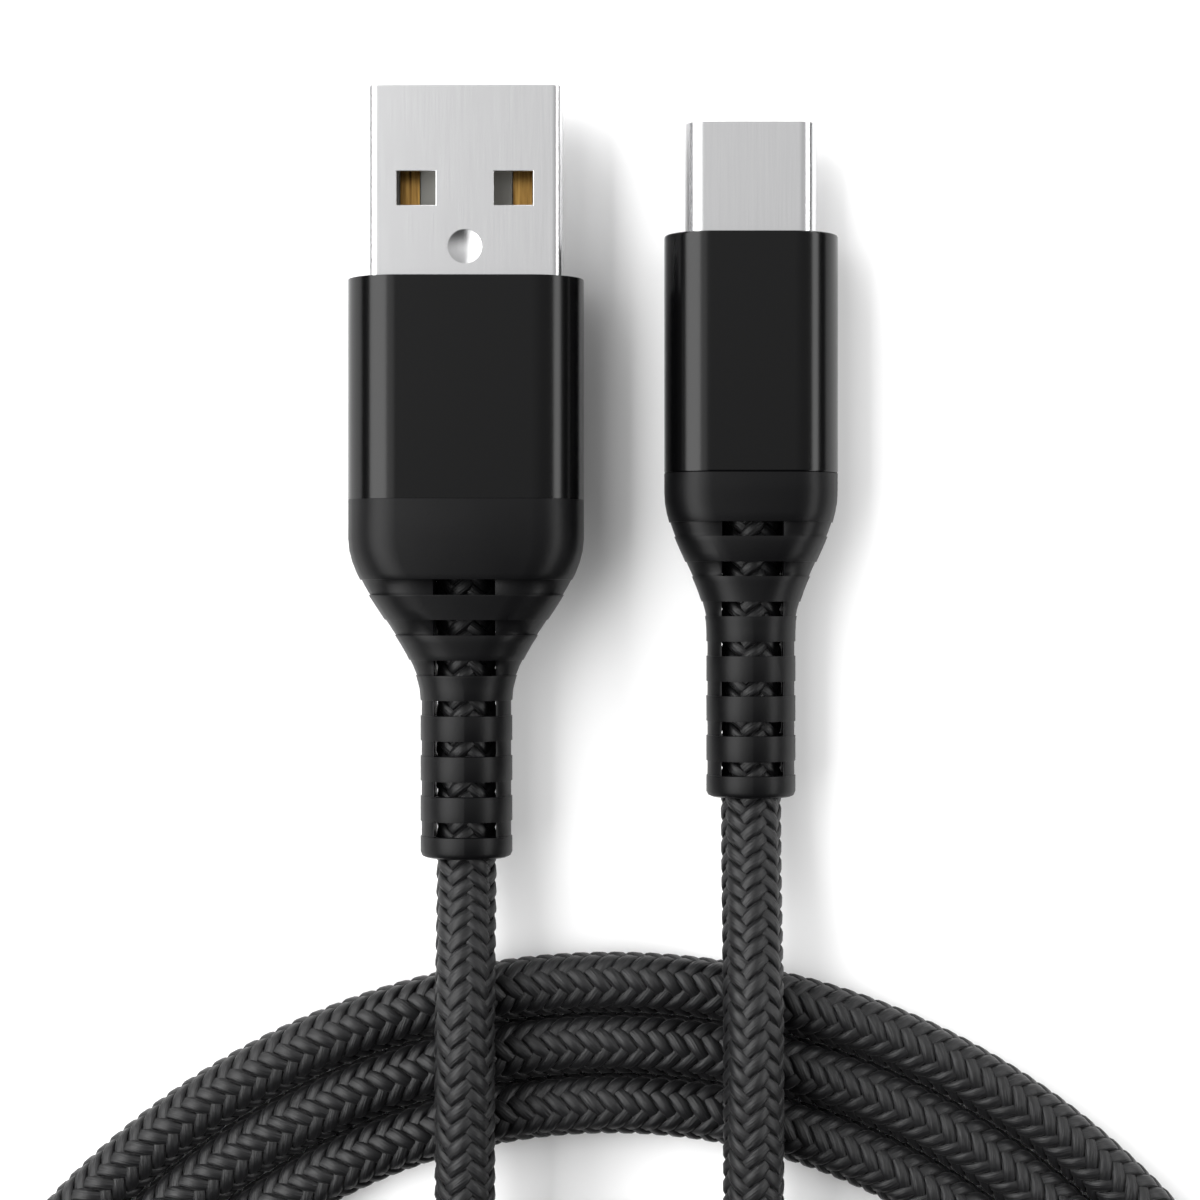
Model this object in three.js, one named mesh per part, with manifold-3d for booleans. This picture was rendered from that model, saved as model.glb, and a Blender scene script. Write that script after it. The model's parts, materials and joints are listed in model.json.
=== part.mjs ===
// Braided charging cable with a USB-A plug and a USB-C plug, laid flat with its length in a coil.
// Millimetres, +Z up. Both plugs point along +Y.
// The origin is on the surface that the cable lies on, under the middle of the two plugs.
// Inside a plug, "depth" is the distance behind its tip, and x and z are measured from its own axis.
import * as THREE from "three";
import { mergeVertices } from "three/addons/utils/BufferGeometryUtils.js";
import Module from "manifold-3d";

const wasm = await Module();
wasm.setup();

// Clearances
const FIT = 0.05; // between pieces that seat in each other
const FACE_GAP = 0.3; // between the cord's own solids
const BORE_GAP = 0.15; // between the cord and a bore it runs in

// Cord
const CORD_RADIUS = 1.9;
const CORD_SIDES = 8;
const LEAD_STEPS = 40;
const JACKET_RADIUS = 1.5;
const WIRE_RADIUS = 0.38;
const WIRE_PACK = 0.5; // half the spacing of the four wires where they enter the jacket

// Layout of the two plugs
const PLUG_SPACING = 17.7;
const TIP_STAGGER = 1.93;

const USB_A_SHELL = { width: 12, height: 4.5, corner: 0.65, wall: 0.3, length: 18.5, exposed: 11.8 };
const USB_A = {
  shell: USB_A_SHELL,
  window: { inner: 1.78, outer: 4.19, from: 5.29, to: 7.36 },
  dimple: { radius: 1.1, dent: 0.2, depth: 9.9 },
  carrier: { from: 9.5, to: 18, tongueFrom: 0.6, tongueTop: -0.06 },
  contact: { width: 1.2, thickness: 0.3, top: -0.03, to: 21.5, powerFrom: 1.1, dataFrom: 2.1 },
  contactPlaces: [["ground", -3.5], ["data_plus", -1], ["data_minus", 1], ["vbus", 3.5]],
  sleeve: {
    width: USB_A_SHELL.width + 2 * 1.285, // the sleeve stands out beyond the shell all round
    height: USB_A_SHELL.height + 2 * 1.65,
    corner: 3.2,
    wall: 0.7,
    length: 13.6,
  },
  mould: {
    recess: 0.2,
    chamberWidth: 10.4,
    chamberHeight: 4.4,
    spigotWidth: 11,
    spigotHeight: 5.2,
    spigot: 2.2,
    backWall: 1.4,
  },
  jacket: { length: 0.95 },
  ferrule: { wall: 0.45, gap: 0.15, length: 2.3 },
  boot: {
    length: 22.1,
    neck: 2.85,
    flareFrom: 2.4,
    flareTo: 12.4,
    firstSlot: 4.92,
    slotPitch: 2.485,
    slot: 0.95,
  },
  wireStart: 19.6,
  wireLift: 0.47,
};

const USB_C_SHELL = { width: 8.25, height: 2.4, corner: 1.19, wall: 0.25, length: 11.5, exposed: 6.98 };
const USB_C_LATCH_OUTER = USB_C_SHELL.width / 2 - 0.745; // leaves the latch room to flex outwards
const USB_C = {
  shell: USB_C_SHELL,
  housing: { from: 0.35, to: 11.2, slotWidth: USB_C_SHELL.width - 1.35, slotHeight: 0.86, slotTo: 6.2 },
  contact: { width: 0.25, thickness: 0.15, low: 0.47, bump: 0.15, from: 1.3, to: 13.2, pitch: 0.5 },
  // Name and position, counted from the left, of the contacts that are fitted
  upperContacts: [
    ["a1_ground", 1], ["a4_vbus", 4], ["a5_cc", 5], ["a6_data_plus", 6],
    ["a7_data_minus", 7], ["a9_vbus", 9], ["a12_ground", 12],
  ],
  lowerContacts: [["b12_ground", 1], ["b9_vbus", 4], ["b4_vbus", 9], ["b1_ground", 12]],
  latch: {
    outer: USB_C_LATCH_OUTER,
    arm: 0.25,
    hook: USB_C_LATCH_OUTER - 0.43,
    height: 0.5,
    from: 1.5,
    to: 9.3,
    root: 0.9,
  },
  board: { width: 6.8, thickness: 0.8, from: 11.7, to: 17.6 },
  resistor: { width: 1, length: 0.5, height: 0.35, from: 14 },
  sleeve: {
    width: USB_C_SHELL.width + 2 * 1.275,
    height: USB_C_SHELL.height + 2 * 1.9,
    corner: 2.9,
    wall: 0.7,
    length: 14.8,
  },
  mould: {
    recess: 0.2,
    chamberWidth: 7.2,
    chamberHeight: 3.4,
    spigotWidth: 7.2,
    spigotHeight: 3.8,
    spigot: 0.9,
    backWall: 1.4,
  },
  jacket: { length: 0.9 },
  ferrule: { wall: 0.45, gap: 0.15, length: 1.7 },
  boot: {
    length: 20.1,
    neck: 2.78,
    flareFrom: 1.2,
    flareTo: 9.8,
    firstSlot: 3.03,
    slotPitch: 2.47,
    slot: 0.9,
  },
  wireStart: 15.6,
  wireLift: 0.82,
};

const SLOT_COUNT = 7;
const GROOVE = { side: 0.07, flat: 0.5 }; // depth of each slot's groove beside its window
const SLOT_WINDOW = 3.8;

// Coil: flat turns that lie beside each other and follow an oval of four arcs
const COIL = {
  centreX: 1.1,
  topY: -29.9,
  endRadius: 48.2, // outside radius of the wide arcs at the top and bottom
  sideRadius: 30,
  endHalfAngle: 46.9,
  start: -30, // winding angles, in degrees
  end: 1324,
  strands: 4,
  stepFrom: 260, // each turn moves out by one cord between these angles
  stepTo: 330,
  inset: 5.6, // how far the first turn's top lies inside its neighbours
  edge: 1.3, // rounding of the solid's edges
};

const TIE = { width: 12, thickness: 0.8, gap: 0.15 };

// Routes of the two straight-out stretches, from the end inside the plug to the coil
const A_ROUTE = [
  [-7.9, -3.6, 3.9], [-7.9, -14, 3.9], [-7.9, -23, 3.9], [-7.9, -26.5, 4.2], [-7.9, -29.4, 5.05],
  [-7.9, -32.4, 5.95], [-7.9, -36, 6.3], [-7.9, -40, 6.2], [-7.9, -44.5, 6], [-7.9, -49, 5.9],
  [-7.9, -53, 5.2], [-7.9, -57, 3.6], [-7.9, -61, 2.3], [-7.8, -65, 1.9], [-5.9, -72.4, 1.9],
  [-1.2, -78.6, 1.9], [5.8, -82.6, 1.9], [13.2, -83, 1.9], [20, -80.8, 1.9], [25.4, -77.2, 1.9],
];
const C_ROUTE = [
  [9.8, -0.55, 3.1], [9.8, -12, 3.1], [9.8, -20, 3.1], [9.8, -24.5, 3.6], [9.8, -28.5, 4.7],
  [9.8, -32, 5.75], [9.8, -36, 6.25], [9.8, -40, 6.2], [9.8, -44.5, 6], [9.8, -49, 5.8],
  [9.8, -53, 4.9], [9.8, -57, 3.3], [9.8, -61, 2.1], [9.8, -66, 2], [9.8, -71, 3.1],
  [9.6, -76.5, 4.9], [8.7, -82, 5.95], [6.2, -87.5, 6], [1.8, -92.4, 6], [-3.8, -95.8, 5.9],
  [-9.4, -97.2, 4.6], [-14.4, -96.6, 2.7],
];

const ARC_SEGMENTS = 6;

const MATERIALS = {
  steel: { color: "#c9c9cb", roughness: 0.22, metalness: 1 },
  gold: { color: "#c99a45", roughness: 0.3, metalness: 1 },
  carrier: { color: "#dcdad2", roughness: 0.5, metalness: 0 },
  housing: { color: "#141416", roughness: 0.5, metalness: 0 },
  anodised: { color: "#101012", roughness: 0.3, metalness: 0.6 },
  boot: { color: "#17171a", roughness: 0.55, metalness: 0 },
  mould: { color: "#1c1c1f", roughness: 0.6, metalness: 0 },
  brass: { color: "#b89a5a", roughness: 0.35, metalness: 1 },
  jacket: { color: "#202022", roughness: 0.6, metalness: 0 },
  board: { color: "#1f5a34", roughness: 0.5, metalness: 0 },
  resistor: { color: "#1a1a1a", roughness: 0.5, metalness: 0 },
  wire_red: { color: "#a8201c", roughness: 0.5, metalness: 0 },
  wire_black: { color: "#151515", roughness: 0.5, metalness: 0 },
  wire_green: { color: "#1f7a3a", roughness: 0.5, metalness: 0 },
  wire_white: { color: "#e6e6e2", roughness: 0.5, metalness: 0 },
  braid: { color: "#232325", roughness: 0.7, metalness: 0 },
  tie: { color: "#1a1a1c", roughness: 0.9, metalness: 0 },
};

// ---- solids ----

function solid(geometry) {
  const bare = geometry.index ? geometry.toNonIndexed() : geometry.clone();
  bare.deleteAttribute("normal");
  bare.deleteAttribute("uv");
  const merged = mergeVertices(bare, 1e-4);
  const mesh = new wasm.Mesh({
    numProp: 3,
    vertProperties: merged.attributes.position.array,
    triVerts: new Uint32Array(merged.index.array),
  });
  return new wasm.Manifold(mesh);
}

function meshOf(name, body, finish) {
  const { vertProperties, triVerts, numProp, numVert } = body.getMesh();
  const places = new Float32Array(numVert * 3);
  for (let i = 0; i < numVert; i++) {
    places.set(vertProperties.subarray(i * numProp, i * numProp + 3), i * 3);
  }
  const geometry = new THREE.BufferGeometry();
  geometry.setAttribute("position", new THREE.BufferAttribute(places, 3));
  geometry.setIndex(new THREE.BufferAttribute(triVerts, 1));
  geometry.computeVertexNormals();
  const mesh = new THREE.Mesh(geometry, new THREE.MeshStandardMaterial(MATERIALS[finish]));
  mesh.name = name;
  return mesh;
}

function block(width, from, to, low, high, x = 0) {
  const box = new THREE.BoxGeometry(width, to - from, high - low);
  return solid(box.translate(x, -(from + to) / 2, (low + high) / 2));
}

function rod(radius, from, to, sides = 24) {
  const cylinder = new THREE.CylinderGeometry(radius, radius, to - from, sides);
  return solid(cylinder.translate(0, -(from + to) / 2, 0));
}

function roundedRectangle(width, height, corner) {
  const [a, b] = [width / 2 - corner, height / 2 - corner];
  const shape = new THREE.Shape();
  shape.absarc(a, b, corner, 0, Math.PI / 2);
  shape.absarc(-a, b, corner, Math.PI / 2, Math.PI);
  shape.absarc(-a, -b, corner, Math.PI, 1.5 * Math.PI);
  shape.absarc(a, -b, corner, 1.5 * Math.PI, 2 * Math.PI);
  shape.closePath();
  return shape;
}

// A prism whose section is an outline in x and z, from one depth to another
function slab(outline, from, to) {
  const options = { depth: to - from, bevelEnabled: false, curveSegments: ARC_SEGMENTS };
  const prism = new THREE.ExtrudeGeometry(outline, options);
  return solid(prism.rotateX(Math.PI / 2).translate(0, -from, 0));
}

function roundedSlab({ width, height, corner }, grow, from, to) {
  return slab(roundedRectangle(width + 2 * grow, height + 2 * grow, corner + grow), from, to);
}

function tube(points, radius, steps, sides) {
  const curve = new THREE.CatmullRomCurve3(points.map((p) => new THREE.Vector3(...p)));
  const section = new THREE.Shape();
  for (let i = 0; i < sides; i++) {
    const angle = (2 * Math.PI * (i + 0.5)) / sides;
    const place = [radius * Math.cos(angle), radius * Math.sin(angle)];
    if (i === 0) section.moveTo(...place);
    else section.lineTo(...place);
  }
  section.closePath();
  return solid(new THREE.ExtrudeGeometry(section, { steps, bevelEnabled: false, extrudePath: curve }));
}

function largestPiece(body) {
  const pieces = body.decompose();
  return pieces.reduce((best, piece) => (piece.volume() > best.volume() ? piece : best));
}

// ---- pieces that both plugs have ----

// Depths of the places where one piece ends and the next starts
function depthsOf(plug) {
  const seam = plug.shell.exposed + plug.sleeve.length;
  const spigotEnd = seam + plug.mould.spigot;
  const cordStart = spigotEnd - 0.35;
  const ferruleFrom = spigotEnd + 0.15;
  return {
    mouldFrom: plug.shell.exposed + plug.mould.recess,
    seam,
    spigotEnd,
    wallFrom: spigotEnd - plug.mould.backWall,
    cordStart,
    jacketFrom: cordStart - FIT - plug.jacket.length,
    ferruleFrom,
    ferruleTo: ferruleFrom + plug.ferrule.length,
    end: seam + plug.boot.length,
  };
}

function sleeve(plug) {
  const { exposed } = plug.shell;
  const { wall, length } = plug.sleeve;
  const outside = roundedSlab(plug.sleeve, 0, exposed, exposed + length);
  return outside.subtract(roundedSlab(plug.sleeve, -wall, exposed - 1, exposed + length + 1));
}

function innerMould(plug) {
  const at = depthsOf(plug);
  const { chamberWidth, chamberHeight, spigotWidth, spigotHeight } = plug.mould;
  const body = roundedSlab(plug.sleeve, -plug.sleeve.wall - FIT, at.mouldFrom, at.seam - FIT);
  const spigot = block(spigotWidth, at.seam - 1, at.spigotEnd, -spigotHeight / 2, spigotHeight / 2);
  const shellPocket = roundedSlab(plug.shell, FIT, at.mouldFrom - 1, plug.shell.length + FIT);
  const chamber = block(chamberWidth, plug.shell.length, at.wallFrom, -chamberHeight / 2, chamberHeight / 2);
  const bore = rod(CORD_RADIUS + BORE_GAP, at.wallFrom - 1, at.spigotEnd + 1);
  return body.add(spigot).subtract(shellPocket).subtract(chamber).subtract(bore);
}

function ferrule(plug) {
  const { ferruleFrom, ferruleTo } = depthsOf(plug);
  const inside = CORD_RADIUS + plug.ferrule.gap;
  const outside = rod(inside + plug.ferrule.wall, ferruleFrom, ferruleTo);
  return outside.subtract(rod(inside, ferruleFrom - 1, ferruleTo + 1));
}

// Closed skin through rings of rounded rectangles, one at each [depth, half width, half height, corner]
function loft(stations) {
  const ring = ([depth, a, b, corner]) => {
    const points = [];
    for (let quarter = 0; quarter < 4; quarter++) {
      const sx = quarter === 0 || quarter === 3 ? 1 : -1;
      const sz = quarter < 2 ? 1 : -1;
      for (let i = 0; i <= ARC_SEGMENTS; i++) {
        const angle = ((quarter + i / ARC_SEGMENTS) * Math.PI) / 2;
        const x = sx * (a - corner) + corner * Math.cos(angle);
        const z = sz * (b - corner) + corner * Math.sin(angle);
        points.push(x, -depth, z);
      }
    }
    return points;
  };
  const around = 4 * (ARC_SEGMENTS + 1);
  const places = stations.flatMap(ring);
  const last = (stations.length - 1) * around;
  const faces = [];
  for (let s = 0; s < stations.length - 1; s++) {
    for (let i = 0; i < around; i++) {
      const [p, q] = [s * around + i, s * around + ((i + 1) % around)];
      faces.push(p, p + around, q, q, p + around, q + around);
    }
  }
  for (let i = 1; i < around - 1; i++) {
    faces.push(0, i, i + 1);
    faces.push(last, last + i + 1, last + i);
  }
  const skin = new THREE.BufferGeometry();
  skin.setAttribute("position", new THREE.BufferAttribute(new Float32Array(places), 3));
  skin.setIndex(faces);
  const body = solid(skin);
  return body.volume() > 0 ? body : solid(skin.setIndex(faces.reverse()));
}

// The boot's outside, from the sleeve's section to a round neck. A groove's floor is lower on the flat
// sides and meets the outside at the narrow ones.
function bootShape(plug, groove, from, to) {
  const { neck, flareFrom, flareTo, length } = plug.boot;
  const { width, height, corner } = plug.sleeve;
  const seam = depthsOf(plug).seam;
  const rounding = 0.35;
  const station = (along, shrink) => {
    const blend = THREE.MathUtils.smoothstep(along, flareFrom, flareTo);
    const a = THREE.MathUtils.lerp(width / 2, neck, blend) - groove.side - shrink;
    const b = THREE.MathUtils.lerp(height / 2, neck, blend) - groove.flat - shrink;
    const round = Math.min(a, b) - 0.03;
    return [seam + along, a, b, THREE.MathUtils.lerp(Math.min(corner, round), round, blend)];
  };
  const flare = [];
  const flareSteps = 14;
  for (let i = 0; i <= flareSteps; i++) {
    flare.push(THREE.MathUtils.lerp(flareFrom, flareTo, i / flareSteps));
  }
  const stations = [from, ...flare, to - rounding].map((along) => station(along, 0));
  stations.push(station(to - rounding * 0.3, rounding * 0.3), station(to, rounding));
  return loft(stations);
}

function boot(plug) {
  const at = depthsOf(plug);
  const { length, firstSlot, slotPitch, slot } = plug.boot;
  const { spigotWidth, spigotHeight } = plug.mould;
  const reach = plug.sleeve.width;
  const slots = [];
  for (let i = 0; i < SLOT_COUNT; i++) {
    const from = at.seam + firstSlot + i * slotPitch;
    slots.push([from, from + slot]);
  }
  let body = bootShape(plug, { side: 0, flat: 0 }, 0, length);
  for (const [from, to] of slots) body = body.subtract(block(2 * reach, from, to, -reach, reach));
  body = body.add(bootShape(plug, GROOVE, 0.4, length - 0.4));
  for (const [from, to] of slots) body = body.subtract(block(SLOT_WINDOW, from, to, -reach, reach));
  const pocket = block(
    spigotWidth + 2 * FIT, at.seam - 1, at.spigotEnd + FIT, -spigotHeight / 2 - FIT, spigotHeight / 2 + FIT,
  );
  const ferruleRadius = CORD_RADIUS + plug.ferrule.gap + plug.ferrule.wall + FIT;
  const ferrulePocket = rod(ferruleRadius, at.spigotEnd - 1, at.ferruleTo + FIT);
  const bore = rod(CORD_RADIUS + BORE_GAP, at.seam, at.end + 1);
  return body.subtract(pocket).subtract(ferrulePocket).subtract(bore);
}

function jacketEnd(plug) {
  const { jacketFrom, cordStart } = depthsOf(plug);
  return rod(JACKET_RADIUS, jacketFrom, cordStart - FIT, 16);
}

// A wire from its solder tail to its corner of the jacket
function wire(plug, x, cornerX, cornerZ) {
  const end = depthsOf(plug).jacketFrom - FIT;
  const points = [
    [x, -plug.wireStart, plug.wireLift],
    [x, -plug.wireStart - 1.9, plug.wireLift],
    [(x + cornerX) / 2, -(plug.wireStart + 2.6 + end - 1.2) / 2, (plug.wireLift + cornerZ) / 2],
    [cornerX, 1.2 - end, cornerZ],
    [cornerX, -end, cornerZ],
  ];
  return tube(points, WIRE_RADIUS, 10, 6);
}

const WIRE_CORNERS = [
  ["black", -1, -1],
  ["green", -1, 1],
  ["white", 1, 1],
  ["red", 1, -1],
];

function commonPieces(prefix, plug, wirePlaces) {
  const pieces = [
    meshOf(`${prefix}_inner_mould`, innerMould(plug), "mould"),
    meshOf(`${prefix}_sleeve`, sleeve(plug), "anodised"),
    meshOf(`${prefix}_boot`, boot(plug), "boot"),
    meshOf(`${prefix}_crimp_ferrule`, ferrule(plug), "brass"),
    meshOf(`${prefix}_jacket_end`, jacketEnd(plug), "jacket"),
  ];
  WIRE_CORNERS.forEach(([colour, sideX, sideZ], i) => {
    const body = wire(plug, wirePlaces[i], sideX * WIRE_PACK, sideZ * WIRE_PACK);
    pieces.push(meshOf(`${prefix}_wire_${colour}`, body, `wire_${colour}`));
  });
  return pieces;
}

// ---- USB-A plug ----

function usbAShell() {
  const { shell, window, dimple } = USB_A;
  let body = roundedSlab(shell, 0, 0, shell.length);
  body = body.subtract(roundedSlab(shell, -shell.wall, -1, shell.length + 1));
  for (const side of [-1, 1]) {
    const x = (side * (window.inner + window.outer)) / 2;
    const width = window.outer - window.inner;
    body = body.subtract(block(width, window.from, window.to, -shell.height, shell.height, x));
  }
  const sphereRadius = (dimple.radius ** 2 + dimple.dent ** 2) / (2 * dimple.dent);
  const ball = new THREE.SphereGeometry(sphereRadius, 48, 48).rotateX(Math.PI / 2);
  const lift = shell.height / 2 - dimple.dent + sphereRadius;
  return body.subtract(solid(ball.translate(0, -dimple.depth, lift)));
}

function usbACarrier() {
  const { shell, carrier, contact, contactPlaces } = USB_A;
  const inside = shell.height / 2 - shell.wall - FIT;
  const grow = -shell.wall - FIT;
  let body = roundedSlab(shell, grow, carrier.tongueFrom, carrier.to);
  body = body.subtract(block(shell.width, 0, carrier.from, carrier.tongueTop, inside + 1));
  for (const [, x] of contactPlaces) {
    const low = contact.top - contact.thickness - FIT;
    const width = contact.width + 2 * FIT;
    body = body.subtract(
      block(width, contact.powerFrom - 0.1, carrier.to + 1, low, contact.top + FIT, x),
    );
  }
  return body;
}

function usbAContact(name, x) {
  const { contact } = USB_A;
  const from = name.startsWith("data") ? contact.dataFrom : contact.powerFrom;
  return block(contact.width, from, contact.to, contact.top - contact.thickness, contact.top, x);
}

function usbAPlug() {
  const group = new THREE.Group();
  group.add(meshOf("usb_a_shell", usbAShell(), "steel"));
  group.add(meshOf("usb_a_contact_carrier", usbACarrier(), "carrier"));
  for (const [name, x] of USB_A.contactPlaces) {
    group.add(meshOf(`usb_a_contact_${name}`, usbAContact(name, x), "gold"));
  }
  group.add(...commonPieces("usb_a", USB_A, USB_A.contactPlaces.map(([, x]) => x)));
  return group;
}

// ---- USB-C plug ----

const contactX = (position) => (position - 6.5) * USB_C.contact.pitch;

function usbCHousing() {
  const { shell, housing, contact, latch, upperContacts, lowerContacts } = USB_C;
  let body = roundedSlab(shell, -shell.wall - FIT, housing.from, housing.to);
  const half = housing.slotHeight / 2;
  body = body.subtract(block(housing.slotWidth, 0, housing.slotTo, -half, half));
  const groove = (position, side) => {
    const [low, high] = [half - 0.03, contact.low + contact.thickness + 0.08];
    const ends = side > 0 ? [low, high] : [-high, -low];
    return block(contact.width + 0.08, contact.from - 0.2, housing.to + 1, ...ends, contactX(position));
  };
  for (const [, position] of upperContacts) body = body.subtract(groove(position, 1));
  for (const [, position] of lowerContacts) body = body.subtract(groove(position, -1));
  for (const side of [-1, 1]) {
    const channel = latch.height / 2 + 0.07;
    const inner = latch.outer - latch.arm - 0.2;
    const width = shell.width / 2 - inner;
    body = body.subtract(
      block(width, latch.from - 0.5, latch.to + 0.3, -channel, channel, side * (inner + width / 2)),
    );
  }
  return body;
}

// A contact is a bent strip: its side view in depth and height, given its width
function usbCContact(position, side) {
  const { width, thickness, low, bump, from, to } = USB_C.contact;
  const touching = low - bump;
  const line = [[from, low], [from + 0.6, touching], [from + 1.1, touching], [from + 1.9, low], [to, low]];
  const strip = new THREE.Shape();
  line.forEach(([depth, z], i) => (i ? strip.lineTo(-depth, z) : strip.moveTo(-depth, z)));
  line.reverse().forEach(([depth, z]) => strip.lineTo(-depth, z + thickness));
  strip.closePath();
  const flat = new THREE.ExtrudeGeometry(strip, { depth: width, bevelEnabled: false });
  // the outline's x and y become the row's y and z
  flat.applyMatrix4(new THREE.Matrix4().set(0, 0, 1, -width / 2, 1, 0, 0, 0, 0, 1, 0, 0, 0, 0, 0, 1));
  if (side < 0) flat.rotateY(Math.PI);
  return solid(flat.translate(contactX(position), 0, 0));
}

function usbCLatch(side) {
  const { outer, arm, hook, height, from, to, root } = USB_C.latch;
  const inner = outer - arm;
  const half = height / 2;
  const beam = block(arm, from, to, -half, half, side * (outer - arm / 2));
  const hookX = side * ((hook + inner) / 2 + 0.05);
  const catchPiece = block(inner - hook + 0.1, from + 0.4, from + 1.4, -half, half, hookX);
  const heel = block(arm + 0.15, to - root, to, -half, half, side * (outer - arm / 2 + 0.075));
  return beam.add(catchPiece).add(heel);
}

function usbCPlug() {
  const { shell, board, resistor, upperContacts, lowerContacts } = USB_C;
  const group = new THREE.Group();
  const tubeBody = roundedSlab(shell, 0, 0, shell.length)
    .subtract(roundedSlab(shell, -shell.wall, -1, shell.length + 1));
  group.add(meshOf("usb_c_shell", tubeBody, "steel"));
  group.add(meshOf("usb_c_contact_housing", usbCHousing(), "housing"));
  for (const [name, position] of upperContacts) {
    group.add(meshOf(`usb_c_contact_${name}`, usbCContact(position, 1), "gold"));
  }
  for (const [name, position] of lowerContacts) {
    group.add(meshOf(`usb_c_contact_${name}`, usbCContact(position, -1), "gold"));
  }
  group.add(meshOf("usb_c_latch_left", usbCLatch(-1), "steel"));
  group.add(meshOf("usb_c_latch_right", usbCLatch(1), "steel"));
  const top = board.thickness / 2;
  group.add(meshOf("usb_c_board", block(board.width, board.from, board.to, -top, top), "board"));
  const chip = block(
    resistor.width, resistor.from, resistor.from + resistor.length, top + 0.02, top + 0.02 + resistor.height,
  );
  group.add(meshOf("usb_c_pull_up_resistor", chip, "resistor"));
  group.add(...commonPieces("usb_c", USB_C, [-2.1, -0.8, 0.8, 2.1]));
  return group;
}

// ---- cord ----

// A point of the oval whose outward direction is at that angle, moved in by an offset
function ovalPoint(degrees, offset) {
  const { centreX, topY, endRadius, sideRadius, endHalfAngle } = COIL;
  const half = THREE.MathUtils.degToRad(endHalfAngle);
  const angle = THREE.MathUtils.degToRad(degrees);
  const sideShift = (endRadius - sideRadius) * Math.sin(half);
  const halfHeight = endRadius - (endRadius - sideRadius) * Math.cos(half);
  const middleY = topY - halfHeight;
  const upright = Math.abs(Math.sin(angle)) >= Math.cos(half);
  const radius = (upright ? endRadius : sideRadius) - offset;
  const x = upright ? 0 : Math.sign(Math.cos(angle)) * sideShift;
  const y = upright ? -Math.sign(Math.sin(angle)) * (endRadius - halfHeight) : 0;
  return [centreX + x + radius * Math.cos(angle), middleY + y + radius * Math.sin(angle)];
}

// How far inside the oval's edge the cord's middle lies at a winding angle
function coilOffset(winding) {
  const { strands, stepFrom, stepTo, inset } = COIL;
  let steps = 0;
  for (let turn = 0; turn < strands - 1; turn++) {
    steps += THREE.MathUtils.smoothstep(winding - 360 * turn, stepFrom, stepTo);
  }
  const drawnIn = winding > 0 && winding < 180 ? inset * Math.sin(THREE.MathUtils.degToRad(winding)) ** 2 : 0;
  return (2 * strands - 1 - 2 * steps) * CORD_RADIUS + drawnIn;
}

const coilPoint = (winding) => [...ovalPoint(winding, coilOffset(winding)), CORD_RADIUS];

function coilOutline() {
  const outside = [];
  const inside = [];
  const step = 7.5;
  for (let degrees = 0; degrees < 360; degrees += step) {
    const offsets = [];
    for (let winding = degrees - 360; winding <= COIL.end; winding += 360) {
      if (winding >= COIL.start) offsets.push(coilOffset(winding));
    }
    outside.push(new THREE.Vector2(...ovalPoint(degrees, Math.min(...offsets) - CORD_RADIUS)));
    inside.push(new THREE.Vector2(...ovalPoint(degrees, Math.max(...offsets) + CORD_RADIUS)));
  }
  const outline = new THREE.Shape(outside);
  outline.holes.push(new THREE.Path(inside.reverse()));
  return outline;
}

function cordPieces() {
  const { edge, start, end, strands } = COIL;
  const past = 3; // the groove cut for a lead runs on past its end
  const leadA = [...A_ROUTE, coilPoint(start)];
  const leadC = [...C_ROUTE, coilPoint(end)];
  const bevel = { bevelThickness: edge, bevelSize: edge, bevelOffset: -edge, bevelSegments: 1 };
  const ring = new THREE.ExtrudeGeometry(coilOutline(), { depth: 2 * (CORD_RADIUS - edge), ...bevel });
  const wide = CORD_RADIUS + FACE_GAP;
  const [left, middleY] = ovalPoint(180, 0);
  const innerRadius = COIL.sideRadius - 2 * strands * CORD_RADIUS;
  const halfAngle = THREE.MathUtils.radToDeg(Math.asin(TIE.width / 2 / innerRadius));
  const innermost = 180 - halfAngle; // where the drawn-in first turn passes the tie's edge
  const right = ovalPoint(innermost, coilOffset(innermost) + CORD_RADIUS)[0] + TIE.gap;
  const tieFrom = -middleY - TIE.width / 2;
  const tieTo = -middleY + TIE.width / 2;
  const loop = (grow, low, high) =>
    block(right - left + 2 * grow, tieFrom - 1, tieTo + 1, low, high, (left + right) / 2);
  const { thickness, gap } = TIE;
  const raised = thickness + gap; // how far the coil is lifted to pass through the tie
  const inTie = raised + 2 * CORD_RADIUS + gap;
  const tie = loop(gap + thickness, 0, inTie + thickness)
    .subtract(loop(gap, thickness, inTie))
    .intersect(block(4 * COIL.sideRadius, tieFrom, tieTo, 0, inTie + thickness, left));
  const byTie = (low, high) =>
    block(right - left + 2, tieFrom - gap, tieTo + gap, low, high, (left + right) / 2);
  ring.translate(0, 0, edge);
  const lifted = solid(ring.clone().translate(0, 0, raised)).intersect(byTie(raised, inTie));
  const coil = solid(ring)
    .subtract(tube([...leadA, coilPoint(start + past)], wide, LEAD_STEPS, CORD_SIDES))
    .subtract(tube([...leadC, coilPoint(end - past)], wide, LEAD_STEPS, CORD_SIDES))
    .subtract(byTie(-1, raised + edge))
    .add(lifted);
  return [
    meshOf("cord_lead_usb_a", tube(leadA, CORD_RADIUS, LEAD_STEPS, CORD_SIDES), "braid"),
    meshOf("cord_coil", largestPiece(coil), "braid"),
    meshOf("cord_lead_usb_c", tube(leadC, CORD_RADIUS, LEAD_STEPS, CORD_SIDES), "braid"),
    meshOf("cord_tie", tie, "tie"),
  ];
}

// ---- assembly ----

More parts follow.
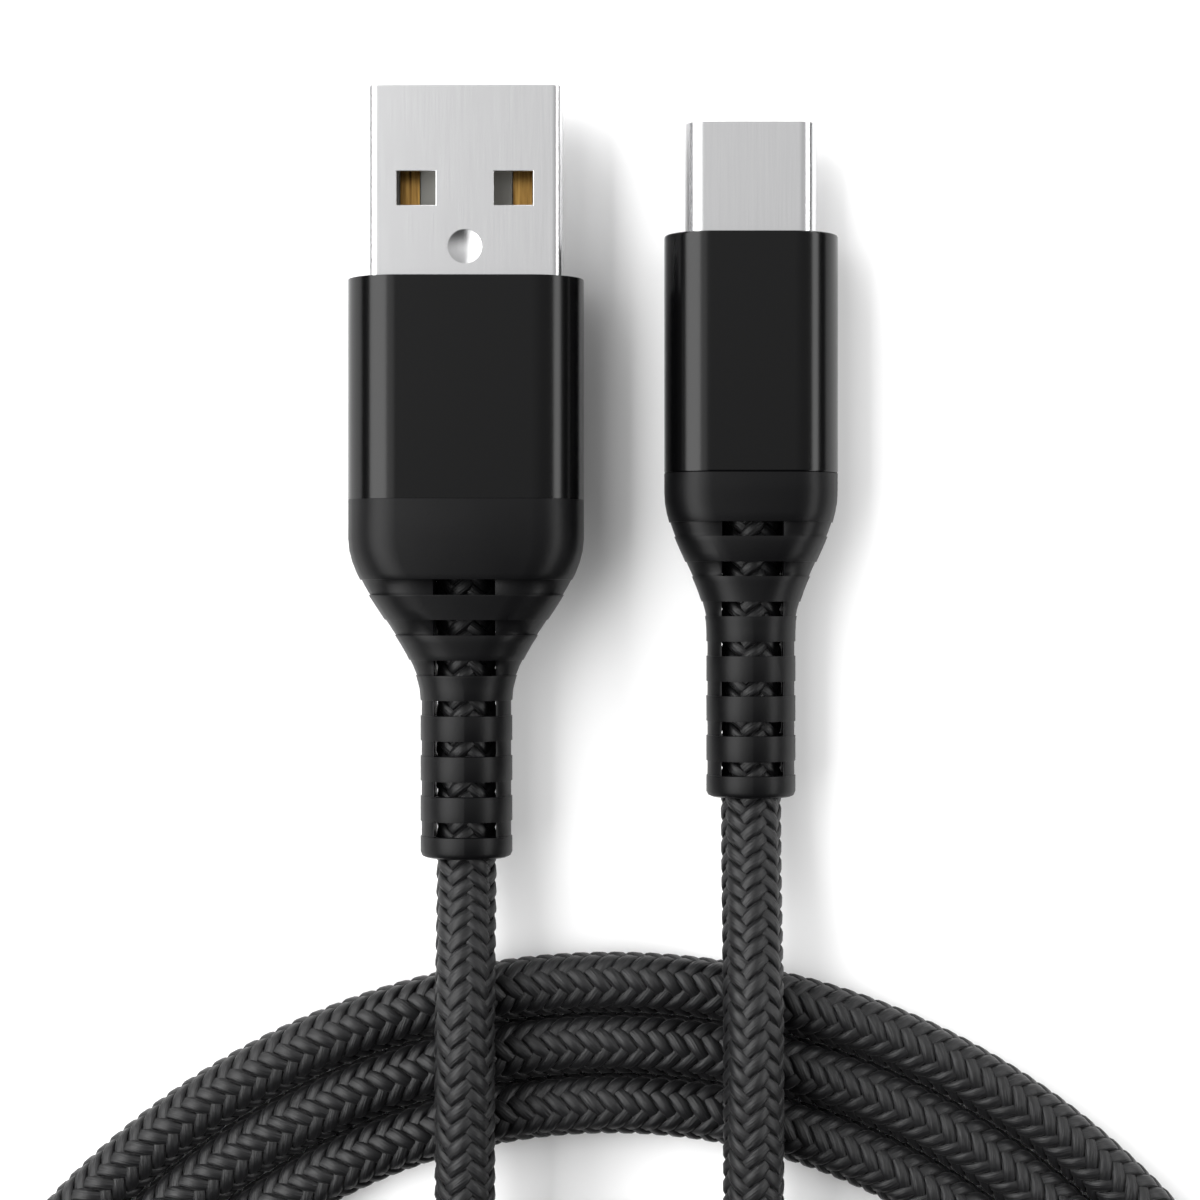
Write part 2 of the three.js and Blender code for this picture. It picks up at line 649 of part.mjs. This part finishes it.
const endA = depthsOf(USB_A).end;
const endC = depthsOf(USB_C).end + TIP_STAGGER;
const acrossBoth = USB_A.sleeve.width / 2 + PLUG_SPACING + USB_C.sleeve.width / 2;
const tipY = Math.max(endA, endC) / 2;

const plugA = usbAPlug();
plugA.position.set((USB_A.sleeve.width - acrossBoth) / 2, tipY, USB_A.sleeve.height / 2);
const plugC = usbCPlug();
plugC.position.set((acrossBoth - USB_C.sleeve.width) / 2, tipY - TIP_STAGGER, USB_C.sleeve.height / 2);

const cable = new THREE.Group();
cable.add(plugA, plugC, ...cordPieces());

export default cable;
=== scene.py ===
# Braided charging cable with a USB-A plug and a USB-C plug, its spare length in a flat coil.
# Metres, in the row's frame: +Z up from the surface, both plugs pointing along +Y.
import json
import math

import bmesh
import bpy
import numpy as np
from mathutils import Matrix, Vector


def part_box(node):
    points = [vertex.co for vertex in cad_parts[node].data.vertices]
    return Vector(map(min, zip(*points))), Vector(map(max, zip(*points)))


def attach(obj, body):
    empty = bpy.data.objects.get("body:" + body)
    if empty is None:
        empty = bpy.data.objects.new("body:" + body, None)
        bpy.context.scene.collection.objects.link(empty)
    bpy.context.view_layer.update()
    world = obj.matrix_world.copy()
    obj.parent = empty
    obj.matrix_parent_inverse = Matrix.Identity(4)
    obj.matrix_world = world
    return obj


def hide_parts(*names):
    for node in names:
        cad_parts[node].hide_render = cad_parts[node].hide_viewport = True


MM = 0.001

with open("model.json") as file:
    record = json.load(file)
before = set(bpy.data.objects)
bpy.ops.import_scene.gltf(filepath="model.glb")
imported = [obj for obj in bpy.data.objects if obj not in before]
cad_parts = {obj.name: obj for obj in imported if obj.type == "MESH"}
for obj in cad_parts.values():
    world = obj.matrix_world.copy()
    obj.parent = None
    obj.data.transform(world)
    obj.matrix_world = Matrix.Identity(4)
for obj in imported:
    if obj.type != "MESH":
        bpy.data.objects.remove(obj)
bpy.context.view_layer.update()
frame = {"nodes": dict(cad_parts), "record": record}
node_slots = {part["node"]: part["material_slot"] for part in frame["record"]["subparts"]}

# ---- camera ----

VIEW_WIDTH = 74.5 * MM  # what the frame takes in, at the height of the plugs
VIEW_MIDDLE = (0.385 * MM, -7.83 * MM)
LENS = 85.0
SENSOR = 36.0


def add_camera():
    low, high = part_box("usb_a_sleeve")
    height = (low[2] + high[2]) / 2
    data = bpy.data.cameras.new("camera")
    data.lens = LENS
    data.sensor_width = SENSOR
    data.clip_start = 0.01
    camera = bpy.data.objects.new("camera", data)
    camera.location = (*VIEW_MIDDLE, height + VIEW_WIDTH * LENS / SENSOR)
    bpy.context.collection.objects.link(camera)
    bpy.context.scene.camera = camera


# ---- cord's route, in millimetres ----

CORD_DIAMETER = 3.8
CORD_RADIUS = CORD_DIAMETER / 2
LEAD_A = [
    (-7.9, -3.6, 3.9), (-7.9, -14, 3.9), (-7.9, -23, 3.9), (-7.9, -26.5, 4.2), (-7.9, -29.4, 5.05),
    (-7.9, -32.4, 5.95), (-7.9, -36, 6.3), (-7.9, -40, 6.2), (-7.9, -44.5, 6), (-7.9, -49, 5.9),
    (-7.9, -53, 5.2), (-7.9, -57, 3.6), (-7.9, -61, 2.3), (-7.8, -65, 1.9), (-5.9, -72.4, 1.9),
    (-1.2, -78.6, 1.9), (5.8, -82.6, 1.9), (13.2, -83, 1.9), (20, -80.8, 1.9), (25.4, -77.2, 1.9),
]
LEAD_C = [
    (9.8, -0.55, 3.1), (9.8, -12, 3.1), (9.8, -20, 3.1), (9.8, -24.5, 3.6), (9.8, -28.5, 4.7),
    (9.8, -32, 5.75), (9.8, -36, 6.25), (9.8, -40, 6.2), (9.8, -44.5, 6), (9.8, -49, 5.8),
    (9.8, -53, 4.9), (9.8, -57, 3.3), (9.8, -61, 2.1), (9.8, -66, 2), (9.8, -71, 3.1),
    (9.6, -76.5, 4.9), (8.7, -82, 5.95), (6.2, -87.5, 6), (1.8, -92.4, 6), (-3.8, -95.8, 5.9),
    (-9.4, -97.2, 4.6), (-14.4, -96.6, 2.7),
]
COIL_CENTRE_X = 1.1
COIL_TOP_Y = -29.9
END_RADIUS = 48.2  # outside radius of the oval's wide arcs
SIDE_RADIUS = 30.0
END_HALF_ANGLE = math.radians(46.9)
COIL_START = -30.0  # winding angles, in degrees
COIL_END = 1324.0
COIL_STRANDS = 4
STEP_FROM = 260.0  # the part of each turn, in degrees, where it moves out by one cord
STEP_TO = 330.0
TOP_INSET = 5.6  # how far the first half turn is drawn in
COIL_POINTS = 136
TIE_RAISE = 0.95  # the tie's strap runs under the coil and lifts it
TIE_FLAT = 22.0  # the coil is fully lifted within this many degrees of the tie's middle
TIE_CLEAR = 60.0  # and flat again beyond this many


def smoothstep(value, low, high):
    t = min(max((value - low) / (high - low), 0.0), 1.0)
    return t * t * (3 - 2 * t)


def oval_point(degrees, offset):
    """Point of the coil's oval whose outward direction is at that angle, moved in by offset."""
    angle = math.radians(degrees)
    side_shift = (END_RADIUS - SIDE_RADIUS) * math.sin(END_HALF_ANGLE)
    half_height = END_RADIUS - (END_RADIUS - SIDE_RADIUS) * math.cos(END_HALF_ANGLE)
    x, y, radius = 0.0, 0.0, SIDE_RADIUS - offset
    if abs(math.sin(angle)) >= math.cos(END_HALF_ANGLE):
        y = -math.copysign(END_RADIUS - half_height, math.sin(angle))
        radius = END_RADIUS - offset
    else:
        x = math.copysign(side_shift, math.cos(angle))
    return (
        COIL_CENTRE_X + x + radius * math.cos(angle),
        COIL_TOP_Y - half_height + y + radius * math.sin(angle),
    )


def coil_point(winding):
    """The cord's middle at a winding angle: each turn moves out by one cord as it ends."""
    steps = sum(smoothstep(winding - 360 * k, STEP_FROM, STEP_TO) for k in range(COIL_STRANDS - 1))
    offset = (2 * COIL_STRANDS - 1 - 2 * steps) * CORD_RADIUS
    if 0 < winding < 180:
        offset += TOP_INSET * math.sin(math.radians(winding)) ** 2
    lift = TIE_RAISE * (1 - smoothstep(abs(winding % 360 - 180), TIE_FLAT, TIE_CLEAR))
    return (*oval_point(winding, offset), CORD_RADIUS + lift)


def smooth_curve(points, per_span):
    """Centripetal Catmull-Rom curve through the points."""
    p = np.array(points)
    p = np.vstack([2 * p[0] - p[1], p, 2 * p[-1] - p[-2]])
    spans = []
    t = np.linspace(0, 1, per_span, endpoint=False)[:, None]
    for a, b, c, d in zip(p, p[1:], p[2:], p[3:]):
        ab, bc, cd = (math.sqrt(np.linalg.norm(v)) for v in (b - a, c - b, d - c))
        start = ((b - a) / ab - (c - a) / (ab + bc) + (c - b) / bc) * bc
        end = ((c - b) / bc - (d - b) / (bc + cd) + (d - c) / cd) * bc
        spans.append(
            (2 * t**3 - 3 * t**2 + 1) * b + (t**3 - 2 * t**2 + t) * start
            + (-2 * t**3 + 3 * t**2) * c + (t**3 - t**2) * end
        )
    return np.vstack(spans + [p[-2][None]])


def even_steps(points, spacing):
    """The same line with its points evenly spaced, and the distance of each from its start."""
    lengths = np.linalg.norm(np.diff(points, axis=0), axis=1)
    at = np.concatenate([[0], np.cumsum(lengths)])
    count = int(round(at[-1] / spacing))
    wanted = np.linspace(0, at[-1], count + 1)
    line = np.stack([np.interp(wanted, at, points[:, k]) for k in range(3)], axis=1)
    return line, wanted


CURVE_STEPS = 12  # between one point of the route and the next


def cord_line(spacing):
    """The cord's middle line in metres, and the distance of each point from its start."""
    winding = np.linspace(COIL_START, COIL_END, COIL_POINTS)
    points = LEAD_A + [coil_point(w) for w in winding] + LEAD_C[::-1]
    line, along = even_steps(smooth_curve(points, CURVE_STEPS), spacing)
    return line * MM, along * MM


def frames_along(line):
    """Two directions across the line at each point, each turned as little as possible."""
    tangents = np.gradient(line, axis=0)
    tangents /= np.linalg.norm(tangents, axis=1)[:, None]
    first = np.empty_like(line)
    across = np.array([0.0, 0.0, 1.0])
    for i, tangent in enumerate(tangents):
        across = across - tangent * np.dot(across, tangent)
        across /= np.linalg.norm(across)
        first[i] = across
    return first, np.cross(tangents, first)


# ---- meshes ----


def new_object(name, mesh, body="cable"):
    thing = bpy.data.objects.new(name, mesh)
    bpy.context.collection.objects.link(thing)
    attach(thing, body)
    return thing


SEAM_DISTANCE = 1e-7  # how close the two edges of a closed tube's seam lie, in metres


def grid_mesh(name, columns, rows, place, closed_across, uv=None):
    """Mesh of a grid of columns by rows steps, each vertex put where place(column, row) says."""
    bm = bmesh.new()
    bmesh.ops.create_grid(bm, x_segments=columns, y_segments=rows, size=1)
    co = np.array([v.co[:2] for v in bm.verts])
    column = np.rint((co[:, 0] + 1) / 2 * columns).astype(int)
    row = np.rint((co[:, 1] + 1) / 2 * rows).astype(int)
    places = place(column, row)
    for vert, where in zip(bm.verts, places):
        vert.co = where
    if uv is not None:
        across, along = uv(column, row)
        layer = bm.loops.layers.uv.new("along_and_across")
        bm.verts.index_update()
        for face in bm.faces:
            for loop in face.loops:
                i = loop.vert.index
                loop[layer].uv = (along[i], across[i])
    if closed_across:
        bmesh.ops.remove_doubles(bm, verts=bm.verts, dist=SEAM_DISTANCE)
    bmesh.ops.recalc_face_normals(bm, faces=bm.faces)
    bmesh.ops.holes_fill(bm, edges=[e for e in bm.edges if e.is_boundary], sides=0)
    bmesh.ops.recalc_face_normals(bm, faces=bm.faces)
    for face in bm.faces:
        face.smooth = True
    mesh = bpy.data.meshes.new(name)
    bm.to_mesh(mesh)
    bm.free()
    return mesh


CORE_RADIUS = 1.45 * MM
CORE_SIDES = 12
CORE_SPACING = 1.0  # along the cord, in millimetres
YARNS_EACH_WAY = 8
YARN_SPACING = 0.215
YARN_WIDTH = 0.88 * MM
YARN_THICKNESS = 0.33 * MM
YARN_RADIUS = 1.6 * MM  # where the yarns' middles lie on average
YARN_LIFT = 0.15 * MM  # how far a yarn rises and dips as it goes over and under
BRAID_PITCH = 8.8 * MM  # length of one full turn of a yarn round the cord
YARN_SECTION = 6  # sides of a yarn's cross-section
OVER_PHASE = -0.5  # puts each yarn's top midway between two crossings


def braid_yarn(name, line, along, across, index, way):
    """One yarn, wound way round the cord (1 or -1) and woven over two and under two."""
    first, second = across

    def place(column, row):
        s = along[row]
        crossings = way * 2 * YARNS_EACH_WAY * s / BRAID_PITCH
        weave = np.cos(math.pi / 2 * (2 * index + crossings + OVER_PHASE))
        height = YARN_RADIUS + way * YARN_LIFT * weave
        turn = 2 * math.pi * (index / YARNS_EACH_WAY + way * s / BRAID_PITCH)
        section = 2 * math.pi * column / YARN_SECTION
        sideways = YARN_WIDTH / 2 * np.cos(section)
        slope = math.atan2(2 * math.pi * YARN_RADIUS, BRAID_PITCH)
        angle = turn + sideways / height * math.cos(slope)
        radius = height + YARN_THICKNESS / 2 * np.sin(section)
        shift = -way * sideways * math.sin(slope)
        step = along[1] - along[0]
        at = np.clip(row + shift / step, 0, len(along) - 1)
        base = np.floor(at).astype(int)
        ahead = np.minimum(base + 1, len(along) - 1)
        part = (at - base)[:, None]

        def blend(values):
            return values[base] * (1 - part) + values[ahead] * part

        ring = blend(first) * np.cos(angle)[:, None] + blend(second) * np.sin(angle)[:, None]
        return blend(line) + ring * radius[:, None]

    def uv(column, row):
        return column / YARN_SECTION, along[row] / MM

    mesh = grid_mesh(name, YARN_SECTION, len(along) - 1, place, True, uv)
    return new_object(name, mesh)


def cord_core(line, across):
    first, second = across

    def place(column, row):
        angle = 2 * math.pi * column / CORE_SIDES
        ring = first[row] * np.cos(angle)[:, None] + second[row] * np.sin(angle)[:, None]
        return line[row] + CORE_RADIUS * ring

    return new_object("cord", grid_mesh("cord", CORE_SIDES, len(line) - 1, place, True))


def add_cord(braid_material, core_material):
    coarse, _ = cord_line(CORE_SPACING)
    core = cord_core(coarse, frames_along(coarse))
    core.data.materials.append(core_material)
    fine, distance = cord_line(YARN_SPACING)
    across = frames_along(fine)
    for way, family in ((1, "right"), (-1, "left")):
        for index in range(YARNS_EACH_WAY):
            yarn = braid_yarn(f"braid_yarn_{family}_{index + 1}", fine, distance, across, index, way)
            yarn.data.materials.append(braid_material)
    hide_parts("cord_lead_usb_a", "cord_coil", "cord_lead_usb_c")


SAME_PLACE = 2e-6  # vertices this close, in metres, are one
FLAT_ANGLE = math.radians(0.2)  # faces that meet at less are one flat face
ROUNDED_ANGLE = math.radians(25)  # edges that meet at more are rounded
SHARP_ANGLE = math.radians(35)  # edges that still meet at more are shaded sharp


def softened_copy(node, edge):
    """Copy of a CAD node with its edges rounded off and its round faces shaded smooth."""
    source = frame["nodes"][node]
    bm = bmesh.new()
    bm.from_mesh(source.data)
    bmesh.ops.remove_doubles(bm, verts=bm.verts, dist=SAME_PLACE)
    bmesh.ops.dissolve_limit(
        bm, angle_limit=FLAT_ANGLE, verts=bm.verts, edges=bm.edges, use_dissolve_boundaries=False,
    )
    rounded = [e for e in bm.edges if len(e.link_faces) == 2 and e.calc_face_angle(0) > ROUNDED_ANGLE]
    bmesh.ops.bevel(
        bm, geom=rounded, offset=edge, affect="EDGES", segments=2, profile=0.5, material=-1,
        clamp_overlap=True,
    )
    for face in bm.faces:
        face.smooth = True
    for e in bm.edges:
        e.smooth = e.calc_face_angle(0) < SHARP_ANGLE
    label = f"{node}_finished"
    mesh = bpy.data.meshes.new(label)
    bm.to_mesh(mesh)
    bm.free()
    bodies = frame["record"]["behaviour"]["bodies"]
    body = next(b for b, nodes in bodies.items() if node in nodes)
    piece = new_object(label, mesh, body)
    if not node.endswith("boot"):  # the boots keep their plain smooth shading
        piece.modifiers.new("even_shading", "WEIGHTED_NORMAL").keep_sharp = True
    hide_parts(node)
    return piece


# ---- materials ----


def linear(hex_colour):
    """Linear RGBA of an sRGB hex colour."""
    values = [int(hex_colour[i:i + 2], 16) / 255 for i in (1, 3, 5)]
    return tuple(v / 12.92 if v <= 0.04045 else ((v + 0.055) / 1.055) ** 2.4 for v in values) + (1.0,)


def new_material(name):
    material = bpy.data.materials.new(name)
    material.use_nodes = True
    return material, material.node_tree.nodes["Principled BSDF"]


def add_node(material, kind, settings=None, inputs=None):
    """Adds a node. settings are its properties, and inputs are values or sockets to link from."""
    node = material.node_tree.nodes.new(kind)
    for key, value in (settings or {}).items():
        setattr(node, key, value)
    for key, value in (inputs or {}).items():
        connect(material, value, node.inputs[key])
    return node


def connect(material, value, socket):
    if isinstance(value, bpy.types.NodeSocket):
        material.node_tree.links.new(value, socket)
    else:
        socket.default_value = value


def object_place(material):
    return add_node(material, "ShaderNodeTexCoord").outputs["Object"]


def ramp(material, factor, stops):
    node = add_node(material, "ShaderNodeValToRGB", inputs={"Fac": factor})
    elements = node.color_ramp.elements
    while len(elements) < len(stops):
        elements.new(0.5)
    for element, (at, colour) in zip(elements, stops):
        element.position = at
        element.color = linear(colour)
    return node.outputs["Color"]


def grain(material, scale_mm, detail=3.0, stretch=(1, 1, 1)):
    """Noise whose grains are about scale_mm across."""
    place = add_node(
        material, "ShaderNodeMapping", inputs={"Vector": object_place(material), "Scale": stretch},
    )
    noise = add_node(
        material, "ShaderNodeTexNoise",
        inputs={"Vector": place.outputs["Vector"], "Scale": 1 / (scale_mm * MM), "Detail": detail},
    )
    return noise.outputs["Fac"]


def bump(material, height, distance_mm, strength):
    inputs = {"Height": height, "Distance": distance_mm * MM, "Strength": strength}
    return add_node(material, "ShaderNodeBump", inputs=inputs).outputs["Normal"]


def spread(material, value, low, high):
    node = add_node(
        material, "ShaderNodeMapRange", inputs={"Value": value, "To Min": low, "To Max": high},
    )
    return node.outputs["Result"]


def nickel_plated_steel():
    # stamped, plated and barrel-polished: bright, with faint rolling lines along the shell
    material, shader = new_material("nickel_plated_steel")
    lines = grain(material, 0.5, 4.0, (6, 0.12, 6))
    tint = ramp(material, lines, [(0.2, "#cdcdce"), (0.8, "#d4d4d5")])
    connect(material, tint, shader.inputs["Base Color"])
    shader.inputs["Metallic"].default_value = 1.0
    connect(material, spread(material, lines, 0.2, 0.25), shader.inputs["Roughness"])
    connect(material, bump(material, lines, 0.0005, 0.1), shader.inputs["Normal"])
    return material


def gold_plated_contact():
    # thin gold over nickel, wiped a little duller where it mates
    material, shader = new_material("gold_plated_contact")
    wear = grain(material, 0.6, 3.0, (3, 0.15, 3))
    tint = ramp(material, wear, [(0.3, "#6a4d28"), (0.7, "#b08a4c")])
    connect(material, tint, shader.inputs["Base Color"])
    shader.inputs["Metallic"].default_value = 1.0
    connect(material, spread(material, wear, 0.22, 0.4), shader.inputs["Roughness"])
    return material


def black_anodised_aluminium():
    # turned smooth and dyed: a deep gloss over a very fine etched grain
    material, shader = new_material("black_anodised_aluminium")
    etch = grain(material, 0.12)
    tint = ramp(material, etch, [(0.2, "#020202"), (0.8, "#040405")])
    connect(material, tint, shader.inputs["Base Color"])
    shader.inputs["Specular IOR Level"].default_value = 0.25
    connect(material, spread(material, etch, 0.18, 0.22), shader.inputs["Roughness"])
    connect(material, bump(material, etch, 0.002, 0.2), shader.inputs["Normal"])
    return material


def satin_boot_elastomer():
    # moulded thermoplastic elastomer: satin black with the mould's fine spark-eroded texture
    material, shader = new_material("satin_boot_elastomer")
    texture = grain(material, 0.16, 2.0)
    haze = grain(material, 5.0, 2.0)
    tint = ramp(material, haze, [(0.3, "#040405"), (0.7, "#070708")])
    connect(material, tint, shader.inputs["Base Color"])
    shader.inputs["Specular IOR Level"].default_value = 0.16
    connect(material, spread(material, haze, 0.34, 0.44), shader.inputs["Roughness"])
    connect(material, bump(material, texture, 0.012, 0.35), shader.inputs["Normal"])
    return material


def braided_nylon():
    # bundles of dozens of fine filaments: dark, with a soft gloss that runs along each yarn
    material, shader = new_material("braided_nylon")
    place = add_node(material, "ShaderNodeUVMap", {"uv_map": "along_and_across"}).outputs["UV"]
    stretched = add_node(
        material, "ShaderNodeMapping", inputs={"Vector": place, "Scale": (1.2, 26.0, 1.0)},
    ).outputs["Vector"]
    filaments = add_node(
        material, "ShaderNodeTexNoise", inputs={"Vector": stretched, "Scale": 1.0, "Detail": 2.0},
    ).outputs["Fac"]
    tint = ramp(material, filaments, [(0.3, "#020203"), (0.55, "#08080a"), (0.75, "#1c1c1e")])
    connect(material, tint, shader.inputs["Base Color"])
    connect(material, spread(material, filaments, 0.58, 0.4), shader.inputs["Roughness"])
    shader.inputs["Specular IOR Level"].default_value = 0.42
    shader.inputs["Sheen Weight"].default_value = 0.04
    shader.inputs["Sheen Roughness"].default_value = 0.4
    connect(material, bump(material, filaments, 0.06, 0.8), shader.inputs["Normal"])
    return material


def hook_and_loop_fabric():
    # napped nylon loops: matt, with a short fuzzy pile
    material, shader = new_material("hook_and_loop_fabric")
    pile = grain(material, 0.35, 5.0)
    tint = ramp(material, pile, [(0.3, "#060607"), (0.7, "#151517")])
    connect(material, tint, shader.inputs["Base Color"])
    shader.inputs["Roughness"].default_value = 0.9
    shader.inputs["Sheen Weight"].default_value = 0.08
    shader.inputs["Specular IOR Level"].default_value = 0.2
    connect(material, bump(material, pile, 0.15, 0.8), shader.inputs["Normal"])
    return material


def moulded(name, dark, light, rough_low, rough_high):
    """A moulded or coated surface: slight colour drift and a fine grain."""
    material, shader = new_material(name)
    drift = grain(material, 3.0)
    fine = grain(material, 0.25)
    tint = ramp(material, drift, [(0.3, dark), (0.7, light)])
    connect(material, tint, shader.inputs["Base Color"])
    connect(material, spread(material, drift, rough_low, rough_high), shader.inputs["Roughness"])
    connect(material, bump(material, fine, 0.006, 0.3), shader.inputs["Normal"])
    return material


def plain_brass():
    # rolled sheet brass, crimped: satin yellow metal
    material, shader = new_material("rolled_brass")
    rolled = grain(material, 0.4, 3.0, (1, 4, 1))
    tint = ramp(material, rolled, [(0.3, "#a68648"), (0.7, "#c4a563")])
    connect(material, tint, shader.inputs["Base Color"])
    shader.inputs["Metallic"].default_value = 1.0
    connect(material, spread(material, rolled, 0.3, 0.45), shader.inputs["Roughness"])
    return material


# ---- the scene ----


def node_materials():
    """The finish of each of the record's material slots."""
    return {
        "nickel_steel": nickel_plated_steel(),
        "gold_contact": gold_plated_contact(),
        # the carrier's white plastic is coloured grey: painted shade from the inside of the shell
        "carrier_plastic": moulded("pbt_grey_for_painted_shade", "#8c8b85", "#a09f99", 0.4, 0.5),
        "housing_plastic": moulded("moulded_black_lcp", "#0e0e10", "#161618", 0.45, 0.6),
        "black_anodised": black_anodised_aluminium(),
        "boot_rubber": satin_boot_elastomer(),
        "mould_plastic": moulded("inner_mould_polyethylene", "#141416", "#1e1e21", 0.45, 0.6),
        "brass_ferrule": plain_brass(),
        "jacket_rubber": moulded("cable_jacket_pvc", "#1b1b1d", "#242427", 0.5, 0.65),
        "circuit_board": moulded("solder_mask", "#154326", "#1f5a34", 0.25, 0.4),
        "resistor_body": moulded("chip_resistor_body", "#101012", "#1c1c1e", 0.4, 0.5),
        "wire_red": moulded("wire_insulation_red", "#961b17", "#b0251f", 0.35, 0.45),
        "wire_black": moulded("wire_insulation_black", "#101011", "#1a1a1b", 0.35, 0.45),
        "wire_green": moulded("wire_insulation_green", "#1a6a32", "#248543", 0.35, 0.45),
        "wire_white": moulded("wire_insulation_white", "#dcdcd8", "#ebebe7", 0.35, 0.45),
        "black_braid": braided_nylon(),
        "tie_fabric": hook_and_loop_fabric(),
    }


EDGES = {  # how far each visible piece's edges are rounded, in millimetres
    "usb_a_shell": 0.06,
    "usb_a_contact_carrier": 0.03,
    "usb_a_sleeve": 0.18,
    "usb_a_boot": 0.1,
    "usb_c_shell": 0.05,
    "usb_c_contact_housing": 0.02,
    "usb_c_sleeve": 0.15,
    "usb_c_boot": 0.1,
    "cord_tie": 0.36,
}


def add_plugs(materials):
    """Gives every node its finish, and returns the tie's finished copy."""
    finished = {}
    for node, thing in frame["nodes"].items():
        if node in EDGES:
            thing = softened_copy(node, EDGES[node] * MM)
        thing.data.materials.clear()
        thing.data.materials.append(materials[node_slots[node]])
        finished[node] = thing
    return finished["cord_tie"]


def add_light(name, place, size, radiance):
    """A long area light that faces the middle of the plugs, with its length along Y."""
    data = bpy.data.lights.new(name, "AREA")
    data.shape = "RECTANGLE"
    data.size, data.size_y = size
    data.energy = radiance * math.pi * size[0] * size[1]
    light = bpy.data.objects.new(name, data)
    light.location = place
    light.rotation_euler.y = math.atan2(place[0], place[2])
    bpy.context.collection.objects.link(light)


STRIPS = [  # long soft boxes beside the plugs: name, place, size in metres and radiance
    ("left_soft_box", (-0.38, 0.3, 0.36), (0.36, 1.2), 6.0),
    ("left_fill", (-0.17, 0.3, 0.46), (0.16, 1.2), 1.5),
    ("right_strip", (0.44, 0.3, 0.27), (0.15, 1.2), 6.0),
]
FLOOR_SIZE = 1.5
FLOOR_DROP = 0.05 * MM  # keeps the floor clear of the faces that rest on it


def add_stage():
    bm = bmesh.new()
    bmesh.ops.create_grid(bm, x_segments=1, y_segments=1, size=FLOOR_SIZE)
    mesh = bpy.data.meshes.new("floor")
    bm.to_mesh(mesh)
    bm.free()
    floor = bpy.data.objects.new("floor", mesh)
    floor.location.z = -FLOOR_DROP
    bpy.context.collection.objects.link(floor)
    material, shader = new_material("white_sweep_paper")
    shader.inputs["Base Color"].default_value = linear("#fafafa")
    shader.inputs["Roughness"].default_value = 0.9
    shader.inputs["Specular IOR Level"].default_value = 0.1
    mesh.materials.append(material)

    add_world()
    bpy.context.scene.view_settings.view_transform = "Standard"
    for name, place, size, radiance in STRIPS:
        add_light(name, place, size, radiance)


def add_world():
    """A pale studio: dim near the horizon, brightest half-way up, and lighter ahead of the plugs."""
    world = bpy.data.worlds.new("studio")
    bpy.context.scene.world = world
    world.use_nodes = True
    heading = add_node(world, "ShaderNodeTexCoord").outputs["Generated"]
    parts = add_node(world, "ShaderNodeSeparateXYZ", inputs={"Vector": heading}).outputs
    height = ramp(
        world, parts["Z"],
        [(0.0, "#1c1c1c"), (0.3, "#303030"), (0.6, "#8c8c8c"), (0.93, "#b4b4b4"), (1.0, "#d2d2d2")],
    )
    ahead = add_node(
        world, "ShaderNodeMapRange", {"interpolation_type": "SMOOTHSTEP"},
        {"Value": parts["Y"], "From Min": -0.4, "From Max": 0.3, "To Min": 0.1, "To Max": 1.6},
    ).outputs["Result"]
    background = world.node_tree.nodes["Background"]
    connect(world, height, background.inputs["Color"])
    connect(world, ahead, background.inputs["Strength"])


add_camera()
finishes = node_materials()
tie = add_plugs(finishes)
core_finish = moulded("cord_core_dark", "#060607", "#0a0a0b", 0.8, 0.9)
add_cord(finishes["black_braid"], core_finish)
add_stage()
